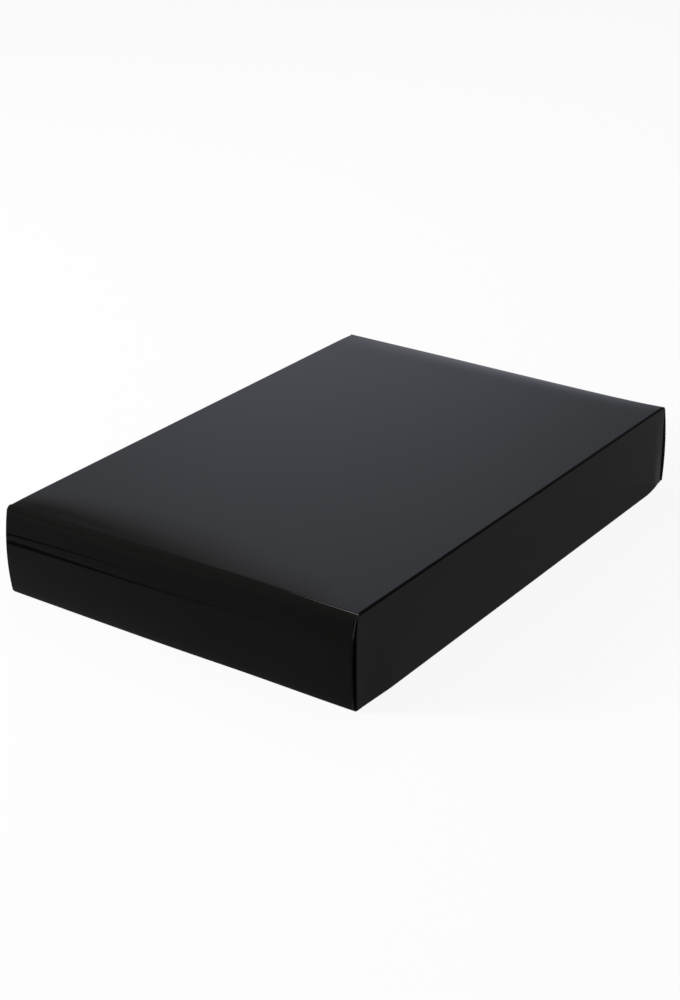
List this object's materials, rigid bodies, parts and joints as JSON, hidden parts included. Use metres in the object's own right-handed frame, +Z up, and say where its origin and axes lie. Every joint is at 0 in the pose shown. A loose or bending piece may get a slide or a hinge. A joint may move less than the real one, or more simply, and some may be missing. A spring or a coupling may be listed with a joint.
{
  "type": "chocolate box",
  "caption": "Flat rectangular folding-board box with a full-depth lift-off lid, bowed rolled end walls, a half-lapped card grid and a quilted pad.",
  "frame": {"origin": "middle of the underside, on the table", "axes": "+X along the long side, +Y across the box, +Z up through the lid"},
  "size_m": [0.23, 0.154, 0.035],
  "materials": {
    "gloss_board": "gloss laminated black",
    "divider_card": "matt black",
    "pad_paper": "satin black glassine"
  },
  "bodies": {
    "base": {"base_tray": "gloss_board"},
    "lid": {"lid": "gloss_board"},
    "pad": {"cushion_pad": "pad_paper"},
    "divider_grid": {"long_divider_1": "divider_card", "long_divider_2": "divider_card", "long_divider_3": "divider_card", "short_divider_1": "divider_card", "short_divider_2": "divider_card", "short_divider_3": "divider_card", "short_divider_4": "divider_card", "short_divider_5": "divider_card"}
  },
  "joints": [
    {"name": "lid_lift", "type": "slide", "parent": "base", "child": "lid", "axis": [0, 0, 1], "range_m": [0, 0.14]},
    {"name": "pad_lift", "type": "slide", "parent": "base", "child": "pad", "axis": [0, 0, 1], "range_m": [0, 0.084]},
    {"name": "grid_lift", "type": "slide", "parent": "base", "child": "divider_grid", "axis": [0, 0, 1], "range_m": [0, 0.042]}
  ],
  "couplings": [
    {"joint": "pad_lift", "follows": "lid_lift", "ratio": 0.6},
    {"joint": "grid_lift", "follows": "lid_lift", "ratio": 0.3}
  ]
}
